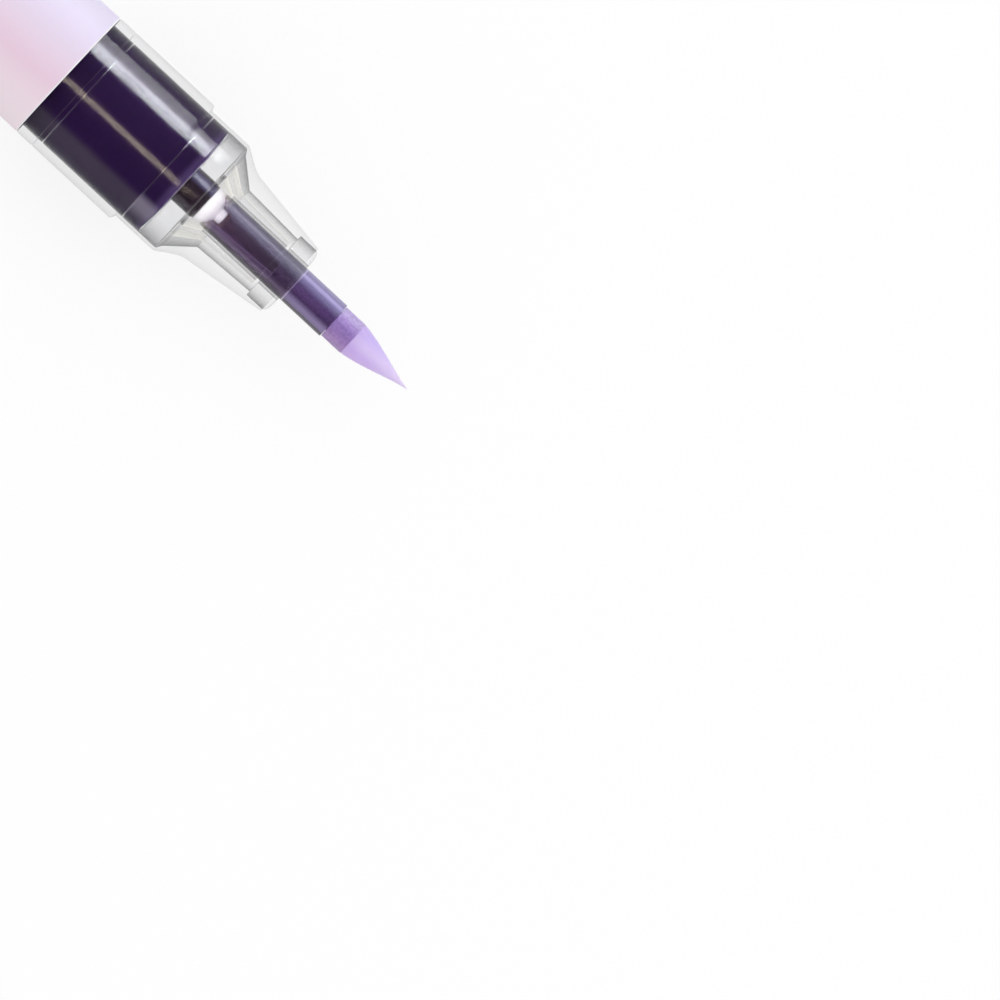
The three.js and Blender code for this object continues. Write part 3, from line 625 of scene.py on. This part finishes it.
nose = {"shoulder": 2.99, "root": 5.36, "rim": 4.12, "rootBore": 3.75, "frontBore": 3.46, "bushSeat": 3.9,
        "bushDepth": 2.1, "step": 0.3, "grip": 10.65, "face": 0.05, "lining": 0.6, "liningDepth": 0.35,
        "rootRound": 0.12, "rootStep": 0.1}
groove = {"places": (-10.1, 0.5), "width": 0.14, "depth": 0.035, "seam": 0.08,
          "section": ((-0.5, 0), (-0.25, 0.7), (0, 1), (0.25, 0.7), (0.5, 0))}
guide = {"bore": 2.3, "front": 2.73, "neck": 3.0, "mouth": 3.2, "wall": 1.38, "flange": 0.4,
         "funnel": 2.25, "throat": 1.7, "throatRound": 0.25}
bush = {"radius": 3.85, "bore": 2.3, "dome": 0.46}


def makeNose(size, seam):
    root = pen["seat"] + size["shoulder"]
    shoulder = curve((root, size["root"]), (root - size["shoulder"] * 0.33, size["root"] + 0.14),
                     (pen["seat"] + size["shoulder"] * 0.3, pen["seatRadius"] - 0.5),
                     (pen["seat"], pen["seatRadius"]), 24)
    bushRear = rimX - size["bushDepth"]
    face = pen["seat"] + size["face"]
    bore = pen["bore"]
    grooves = [(x + seam["width"] * share, bore + seam["depth"] * deep)
               for x in seam["places"] for share, deep in seam["section"]]
    outline = [(rimX, size["bushSeat"], crisp), (rimX, size["rim"], soft), *shoulder[:-1],
               (pen["seat"], pen["seatRadius"], broad), (0, pen["seatRadius"], slight),
               (-size["step"], pen["barrelRadius"], rounded), (-size["grip"], pen["barrelRadius"], eased),
               (-size["grip"], bore), *grooves, (face, bore, rounded),
               (face + size["liningDepth"], bore - size["lining"], soft),
               (root - size["rootRound"], size["rootBore"] + size["rootStep"]), (root, size["rootBore"]),
               (bushRear, size["frontBore"], slight), (bushRear, size["bushSeat"], slight)]
    turned("front_section_clear", "barrel", outline, clearFinish, ["front_section"], slot="clear_plastic",
           inner=innerFinish, seams=[(x, seam["seam"]) for x in seam["places"]])


def makeGuide(size):
    rear, front = reach("nib_guide")
    flange = rear + size["flange"]
    outer = size["mouth"] + size["wall"]
    outline = [(front, size["bore"], slight), (front, size["front"], eased),
               (flange + size["funnel"], size["neck"], full), (flange, outer, rounded), (rear, outer, soft),
               (rear, size["mouth"], soft), (flange, size["mouth"], soft),
               (flange + size["throat"], size["bore"], size["throatRound"])]
    turned("nib_guide_clear", "barrel", outline, paleFinish, ["nib_guide"], slot="clear_plastic",
           inner=guideInnerFinish, seams=[(flange + size["throat"] / 2, size["throat"] / 2)], seamFinish=paleFinish)


def makeBush(size):
    rear, front = reach("guide_bush")
    rim = front - size["dome"]
    dome = curve((front, size["bore"] + 0.25), (front, size["bore"] + 1), (rim + size["dome"] * 0.7, size["radius"]),
                 (rim, size["radius"]), 16)
    outline = [(front, size["bore"], slight), *dome, (rear, size["radius"], soft), (rear, size["bore"], soft)]
    turned("guide_bush_clear", "barrel", outline, bushFinish, ["guide_bush"], slot="clear_plastic",
           inner=guideInnerFinish)


makeNose(nose, groove)
makeGuide(guide)
makeBush(bush)
print("valve, nose, guide and bush made")


# Barrel, label, cartridge and paint

barrel = {"labelFront": 1.93, "labelRear": 7.0, "panel": 7.38, "frontBoreEdge": 0.03}
label = {"inner": 7.38, "outer": 7.47, "overlap": 0.2, "drift": 38, "driftReach": (-1.3, 1.3), "ends": (-7.5, 7.5),
         "fleck": 3000, "fleckLayer": (0.06, rgb(250, 246, 252)), "edgeFade": (-0.14, -0.1),
         "edge": rgb(252, 250, 252), "grain": 1500, "rough": (0.55, 0.65), "shine": 0.15, "relief": 2200,
         "depth": 0.000003}
labelBlend = [(0.0, rgb(252, 236, 244)), (0.32, rgb(238, 209, 228)), (0.58, rgb(236, 216, 236)),
              (0.85, rgb(230, 219, 243)), (1.0, rgb(228, 221, 243))]
cartridge = {"radius": 6.48, "bore": 5.95, "plugBore": 4.8, "plugGap": 0.05, "flange": 1.25, "plugWall": 1.1}
paint = {"radius": 5.97, "crown": 0.2, "centre": 0.01, "steps": 128, "race": 2.42, "raceHeight": -3.5,
         "raceFront": -20.0}
paintLook = {"swirl": 260, "drawn": (0.35, 1, 1), "deep": (rgb(41, 18, 65), rgb(49, 25, 71)),
             "rim": (-1.1, -0.2), "rimCover": (0.1, 0.4), "lip": (-0.3, -0.05), "lipCover": 0.6,
             # film and wet are painted reflections on the −Y side: a grey sheen band along the tank and a lighter
             # patch by the paint's front.
             "rimColour": rgb(140, 114, 178), "film": (-6.4, -5.0, -4.5, -3.5), "lowSheenCover": (0.34, 0.46),
             "lowSheenColour": rgb(106, 99, 107), "sheenPatchFront": (-2.5, -2.1), "wet": (-6.0, -4.6, -4.2, -3.2),
             "sheenPatchLayer": (0.5, rgb(176, 168, 190)), "rough": (0.4, 0.5), "mirror": (0.95, 0.95, 0.95, 1),
             "mirrorRough": (0.13, 0.16), "glossTurn": 1.2, "glossSide": (-4.0, -3.0), "gloss": 0.055}


def labelFinish(look):
    finish = Finish("bare label film")
    front = reach("label")[1] + look["overlap"]
    drift = finish.span(finish.noise(look["drift"], 1), *look["driftReach"])
    colour = finish.ramp(finish.between(finish.axis("Y") + drift, *look["ends"]), labelBlend)
    colour = finish.over(finish.noise(look["fleck"], 2), colour, look["fleckLayer"])
    cut = finish.between(finish.axis("X"), *past(front, look["edgeFade"]))
    return finish.surface(finish.principled({
        "Base Color": finish.mixed(cut, colour, look["edge"]),
        "Roughness": finish.span(finish.noise(look["grain"]), *look["rough"]), "Specular IOR Level": look["shine"],
        "Normal": finish.bump(finish.noise(look["relief"], 4), look["depth"])}))


def paintFinish(look):
    finish = Finish("violet paint")
    x = finish.axis("X")
    y = finish.axis("Y")
    front = reach("paint_fill")[1]
    swirl = finish.noise(look["swirl"], 4, look["drawn"])
    rim = finish.between(x, *past(front, look["rim"])) * finish.span(swirl, *look["rimCover"])
    lip = finish.between(x, *past(front, look["lip"])) * look["lipCover"]
    colour = finish.mixed(rim.larger(lip), finish.mixed(swirl, *look["deep"]), look["rimColour"])
    film = finish.band(y, *look["film"]) * finish.span(swirl, *look["lowSheenCover"])  # a painted reflection: a grey sheen band along the tank's −Y side
    colour = finish.mixed(film, colour, look["lowSheenColour"])
    # A lighter lavender patch on the −Y side near the paint's front: a painted reflection.
    wet = finish.between(x, *past(front, look["sheenPatchFront"])) * finish.band(y, *look["wet"])
    colour = finish.over(wet, colour, look["sheenPatchLayer"])
    body = finish.principled({"Base Color": colour, "Roughness": finish.span(swirl, *look["rough"]),
                              "Specular IOR Level": 0.0})
    mirror = finish.mirror(look["mirror"], finish.span(swirl, *look["mirrorRough"]))
    gloss = (1 - finish.facing() * look["glossTurn"]).larger(0.0) * finish.between(y, *look["glossSide"])
    return finish.surface(finish.blend(gloss * look["gloss"], body, mirror))


def makeBarrel(size):
    rear, front = reach("barrel")
    panelFront = front - size["labelFront"]
    panelRear = rear + size["labelRear"]
    outline = [(front, pen["bore"], size["frontBoreEdge"]), (front, pen["barrelRadius"], eased),
               (panelFront, pen["barrelRadius"], crisp), (panelFront, size["panel"]), (panelRear, size["panel"]),
               (panelRear, pen["barrelRadius"], crisp), (rear, pen["barrelRadius"], full), (rear, pen["bore"], soft)]
    turned("barrel_clear", "barrel", outline, clearFinish, ["barrel"], slot="clear_plastic", inner=innerFinish)


def makeLabel(look):
    rear, front = reach("label")
    front = front + look["overlap"]
    outline = [(front, look["inner"]), (front, look["outer"], hairline), (rear, look["outer"], hairline),
               (rear, look["inner"])]
    turned("label_film", "barrel", outline, labelFinish(look), ["label"], slot="label_film")


def makeCartridge(size):
    rear, front = reach("cartridge_tube")
    turned("cartridge_clear", "barrel", [(front, size["bore"], sharp), (front, size["radius"], sharp),
                                         (rear, size["radius"], sharp), (rear, size["bore"], sharp)],
           cartridgeFinish, ["cartridge_tube"], slot="clear_plastic")
    rear, front = reach("cartridge_plug")
    flange = rear + size["flange"]
    end = front - size["plugWall"]
    plug = size["bore"] - size["plugGap"]
    outline = [(front, 0), (front, plug, broad), (flange, plug), (flange, size["radius"], eased),
               (rear, size["radius"], eased), (rear, size["plugBore"], soft), (end, size["plugBore"], full), (end, 0)]
    turned("cartridge_plug_white", "barrel", outline, whiteFinish, ["cartridge_plug"], False, 96, "white_plastic")


def cornersOf(geometry):  # the corners among what an extrusion made
    return [v for v in geometry if isinstance(v, bmesh.types.BMVert)]


def rims(shape):
    return [e for e in shape.edges if e.is_boundary]


# The paint wets the cartridge's wall, so its skin lies just inside that wall's bore surface. The mixing ball runs in
# a race that opens at its rear.
def makePaint(size, look):
    rear, front = reach("paint_fill")
    crown = curve((front, size["centre"]), (front, size["radius"] * 0.5),
                  (front - size["crown"] * 0.4, size["radius"] * 0.95), (front - size["crown"], size["radius"]), 16)
    shape = spun([(front, 0), *crown, (rear, size["radius"])], False, size["steps"])
    rim = rims(shape)
    centre = Matrix.Translation((rear, 0, size["raceHeight"]))
    bmesh.ops.create_circle(shape, segments=size["steps"], radius=size["race"],
                            matrix=centre @ Matrix.Rotation(math.pi / 2, 4, "Y"))
    mouth = [e for e in shape.edges if e.is_wire]
    bmesh.ops.bridge_loops(shape, edges=rim + mouth)
    race = bmesh.ops.extrude_edge_only(shape, edges=mouth)["geom"]
    bmesh.ops.translate(shape, vec=(size["raceFront"] - rear, 0, 0), verts=cornersOf(race))
    bmesh.ops.holes_fill(shape, edges=rims(shape))
    finished("paint_dark", "barrel", shape, paintFinish(look), ["paint_fill"], "paint")


makeBarrel(barrel)
makeLabel(label)
makeCartridge(cartridge)
makePaint(paint, paintLook)
print("barrel, label, cartridge and paint made")


# Tail plug, cap and liner

tail = {"wall": 1.1, "gap": 0.05, "round": 1.0}
capSize = {"bore": 7.0, "round": 1.2, "edge": 0.25, "endWall": 1.6}
clip = {"width": 4.0, "thickness": 1.6, "gap": 1.4, "length": 29.0, "root": 5.0, "inset": 1.8, "sunk": 0.12,
        "bead": 2.4, "beadGap": 0.35, "edge": 0.3, "segments": 3, "sharpAngle": 1.2,
        "plainFoot": 0.2}
liner = {"bore": 4.6, "wall": 0.7, "lip": 0.35, "base": 1.0, "baseRadius": 6.95}


def makeTail(size):
    rear, front = reach("tail_plug")
    shoulder = reach("barrel")[0] - size["gap"]
    skirt = pen["bore"] - size["gap"]
    cup = skirt - size["wall"]
    outline = [(rear + size["wall"], 0), (rear + size["wall"], cup, fillet), (front, cup, soft), (front, skirt, soft),
               (shoulder, skirt), (shoulder, pen["seatRadius"], soft), (rear, pen["seatRadius"], size["round"]),
               (rear, 0)]
    turned("tail_plug_lilac", "barrel", outline, lilacFinish, ["tail_plug"], False, 128, "tail_plastic")


def makeLiner(size):
    rear, mouth = reach("cap_liner")
    base = rear + size["base"]
    outer = size["bore"] + size["wall"]
    outline = [(base, 0), (base, size["bore"], full), (mouth, size["bore"], soft),
               (mouth, size["bore"] + size["lip"], soft), (mouth - size["wall"], outer, broad), (base, outer, broad),
               (base, size["baseRadius"], soft), (rear, size["baseRadius"], soft), (rear, 0)]
    turned("cap_liner_milky", "cap", outline, linerFinish, ["cap_liner"], False, 128, "liner_plastic")


def makeCap(size):
    rear, rim = reach("cap")
    inner = rear + size["endWall"]
    outline = [(inner, 0), (inner, size["bore"], fillet), (rim, size["bore"], eased),
               (rim, pen["barrelRadius"], size["edge"]), (rear, pen["barrelRadius"], size["round"]), (rear, 0)]
    turned("cap_clear", "cap", outline, capFinish, ["cap"], False, slot="clear_plastic", inner=innerFinish)


# The clip's side outline is filled, given its width, bevelled, and turned to where the pen rests on it. Each curve's
# four points stand at short steps, in millimetres, from the corner that it rounds.
def makeClip(size):
    under = pen["barrelRadius"] + size["gap"]
    top = under + size["thickness"]
    foot = pen["barrelRadius"] - size["sunk"]
    root = reach("cap")[0] + size["inset"]
    web = root + size["root"]
    free = root + size["length"]
    beadRear = free - size["bead"]
    beadTip = free - size["bead"] / 2
    bead = pen["barrelRadius"] + size["beadGap"]
    side = [(root, foot),
            *curve((root, top - 0.8), (root, top - 0.2), (root + 0.6, top), (root + 1.6, top), 8),
            *curve((free - 1.6, top), (free - 0.5, top), (free, top - 0.6), (free, under), 8),
            *curve((free, under - 0.02), (free - 0.3, bead), (free - 0.6, bead), (beadTip, bead), 8),
            *curve((beadTip - 0.02, bead), (free - 1.8, bead), (free - 2.1, under - 0.3), (beadRear, under), 8),
            *curve((web + 0.7, under), (web + 0.3, under), (web, under - 0.3), (web, under - 0.8), 8),
            (web, foot)]
    shape = bmesh.new()
    face = shape.faces.new([shape.verts.new((x, -size["width"] / 2, z)) for x, z in side])
    swept = bmesh.ops.extrude_face_region(shape, geom=[face])["geom"]
    bmesh.ops.translate(shape, vec=(0, size["width"], 0), verts=cornersOf(swept))
    sides = [e for e in shape.edges if len(e.link_faces) == 2 and e.calc_face_angle(0) > size["sharpAngle"]
             and e.verts[0].co.z > foot + size["plainFoot"]]
    bmesh.ops.bevel(shape, geom=sides, affect="EDGES", offset=size["edge"], offset_type="OFFSET",
                    segments=size["segments"], profile=turning["profile"], material=-1)
    barrelFlat = -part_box("cap")[0].z / mm
    half = size["width"] / 2
    turn = math.acos(barrelFlat / math.hypot(top, half)) + math.atan(half / top)
    bmesh.ops.rotate(shape, cent=(0, 0, 0), matrix=Matrix.Rotation(turn - math.pi, 3, "X"), verts=shape.verts)
    finished("cap_clip_clear", "cap", shape, capFinish, slot="clear_plastic")


makeTail(tail)
makeLiner(liner)
makeCap(capSize)
makeClip(clip)
print("tail, liner, cap and clip made")


# The valve spring is wound at its full length, from its node's rear to its front; the stroke is not applied.

spring = {"radius": 2.2, "wire": 0.2, "turns": 6, "stepsPerTurn": 36, "sides": 14, "stroke": 2.0}


def makeSpring(size):
    rear, front = reach("valve_spring")
    steps = size["turns"] * size["stepsPerTurn"]
    rise = front - rear - 2 * size["wire"]
    shape = bmesh.new()
    bmesh.ops.create_circle(shape, segments=size["sides"], radius=size["wire"],
                            matrix=Matrix.Translation((rear + size["wire"], size["radius"], 0)))
    bmesh.ops.spin(shape, geom=shape.verts[:] + shape.edges[:], cent=(0, 0, 0), axis=(1, 0, 0),
                   dvec=(rise / steps, 0, 0), angle=2 * math.pi * size["turns"], steps=steps)
    bmesh.ops.holes_fill(shape, edges=rims(shape))
    coil = finished("valve_spring_coil", "valve_plunger", shape, steelFinish, ["valve_spring"], "spring_steel")
    stepX + front * mm
    1 - size["stroke"] / (front - rear)
    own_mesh(coil)


makeSpring(spring)

# Nodes of the frame that sit inside the paint keep their own shapes
for name, finish in (("valve_cage", whiteFinish), ("spring_washer", steelFinish), ("mixing_ball", ballFinish)):
    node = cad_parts[name]
    node.data.materials.clear()
    node.data.materials.append(finish)
print("spring made, and the hidden nodes dressed")


# Stage, light and camera

floor = {"size": 4.0, "drop": 0.0002, "colour": (0.86, 0.86, 0.86, 1), "seen": (1, 1, 1, 1), "glow": 1.04,
         "glowShare": 0.8}
studio = {"plain": (0.80, 0.80, 0.80, 1), "overheadWarm": (0.035, 0.03, 0.03, 1), "seen": (1, 1, 1, 1),
          "overheadCool": (0.035, 0.035, 0.045, 1), "coolSide": (-0.8, 0.8), "horizon": (0.42, 0.43, 0.44, 1),
          "horizonRise": (0.35, 0.0)}


def makeFloor(size):
    shape = bmesh.new()
    bmesh.ops.create_grid(shape, x_segments=1, y_segments=1, size=size["size"] / 2)
    bmesh.ops.translate(shape, vec=(stepX, 0, cadBox[0].z - size["drop"]), verts=shape.verts)
    mesh = bpy.data.meshes.new("floor")
    shape.to_mesh(mesh)
    shape.free()
    plane = bpy.data.objects.new("floor", mesh)
    bpy.context.scene.collection.objects.link(plane)
    finish = Finish("pale floor")
    plain = finish.node("ShaderNodeBsdfDiffuse", sockets={"Color": size["colour"]})
    bright = finish.node("ShaderNodeEmission", sockets={"Color": size["seen"], "Strength": size["glow"]})
    seen = finish.rays("Is Camera Ray", "Is Glossy Ray", "Is Transmission Ray") * size["glowShare"]
    mesh.materials.append(finish.surface(finish.blend(seen, plain, bright)))


def makeWorld(size):
    world = bpy.data.worlds.new("studio")
    bpy.context.scene.world = world
    world.use_nodes = True
    finish = Finish("studio", world.node_tree)
    heading = finish.node("ShaderNodeTexCoord", out="Generated")
    side = finish.node("ShaderNodeSeparateXYZ", sockets={0: heading}, out="Y")
    up = finish.node("ShaderNodeSeparateXYZ", sockets={0: heading}, out="Z")
    overhead = finish.mixed(finish.between(side, *size["coolSide"]), size["overheadWarm"], size["overheadCool"])
    around = finish.mixed(finish.between(up, *size["horizonRise"]), overhead, size["horizon"])
    lit = finish.mixed(finish.rays("Is Diffuse Ray"), around, size["plain"])
    seen = finish.mixed(finish.rays("Is Camera Ray"), lit, size["seen"])
    background = finish.node("ShaderNodeBackground", sockets={"Color": seen, "Strength": 1.0})
    finish.node("ShaderNodeOutputWorld", sockets={"Surface": background})


# Strip lights run along the pen from stripRear to front, in metres. tilt is the angle from straight overhead, towards
# +Y where it is positive. spread is the angle that a strip fills, as the pen sees it.
stripRear = -0.12
strips = {
    "key strip": {"tilt": 74.5, "spread": 26, "level": 16.5, "colour": (0.95, 0.97, 1.0), "distance": 0.09,
                  "front": 0.1325},
    "warm strip": {"tilt": -8.6, "spread": 10.4, "level": 4.3, "colour": (1.0, 0.82, 0.62), "distance": 0.09,
                   "front": 0.1325},
    "low strip": {"tilt": -83, "spread": 16, "level": 1.12, "colour": (1.0, 0.93, 0.97), "distance": 0.3,
                  "front": 0.24},
    "rim strip": {"tilt": 88, "spread": 16, "level": 2.2, "colour": (1.0, 0.97, 1.0), "distance": 0.3, "front": 0.6},
    "soft key": {"tilt": 35, "spread": 40, "level": 0.9, "colour": (1.0, 1.0, 1.0), "distance": 0.9, "front": 1.0,
                 "diffuse": True},
}


def makeStrip(name, light):
    lamp = bpy.data.lights.new(name, "AREA")
    lamp.shape = "RECTANGLE"
    lamp.size = light["front"] - stripRear
    lamp.size_y = 2 * light["distance"] * math.tan(math.radians(light["spread"] / 2))
    lamp.color = light["colour"]
    lamp.energy = light["level"] * math.pi * lamp.size * lamp.size_y
    strip = bpy.data.objects.new(name, lamp)
    tilt = math.radians(light["tilt"])
    middle = (light["front"] + stripRear) / 2
    strip.location = (middle, light["distance"] * math.sin(tilt), light["distance"] * math.cos(tilt))
    strip.rotation_euler = (-tilt, 0, 0)
    onlyDiffuse = light.get("diffuse", False)
    strip.visible_camera = False
    strip.visible_diffuse = onlyDiffuse
    strip.visible_glossy = not onlyDiffuse
    strip.visible_transmission = not onlyDiffuse
    bpy.context.scene.collection.objects.link(strip)


# The nib's tip stands at tipPixel of a 1000 by 1000 picture, and the pen points down to the right by turn.
view = {"tipPixel": (406.9, 389.0), "turn": 42.87, "mmPerPixel": 0.0974, "picture": 1000, "lens": 1500, "sensor": 36,
        "clip": (0.1, 20)}


def makeCamera(size):
    turn = math.radians(size["turn"])
    across = Vector((math.cos(turn), math.sin(turn), 0))
    up = Vector((-math.sin(turn), math.cos(turn), 0))
    scale = size["mmPerPixel"] * mm
    tip = Vector((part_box("brush_nib")[1].x, 0, 0))
    right = (size["tipPixel"][0] - size["picture"] / 2) * scale
    above = (size["picture"] / 2 - size["tipPixel"][1]) * scale
    centre = tip - across * right - up * above
    camera = bpy.data.objects.new("camera", bpy.data.cameras.new("camera"))
    camera.data.lens = size["lens"]
    camera.data.sensor_width = size["sensor"]
    distance = size["picture"] * scale * size["lens"] / size["sensor"]
    camera.location = centre + Vector((0, 0, distance))
    camera.rotation_euler = (0, 0, turn)
    camera.data.clip_start, camera.data.clip_end = size["clip"]
    bpy.context.scene.collection.objects.link(camera)
    bpy.context.scene.camera = camera


makeFloor(floor)
makeWorld(studio)
for name, light in strips.items():
    makeStrip(name, light)
makeCamera(view)

# Light passes many clear walls before it leaves the nose. A light tree only makes these few lights slower.
scene = bpy.context.scene
scene.view_settings.view_transform = "Standard"
scene.cycles.use_light_tree = False
scene.cycles.max_bounces = 32
scene.cycles.transmission_bounces = 32
scene.cycles.glossy_bounces = 10
scene.cycles.transparent_max_bounces = 32
print("stage, light and camera made")
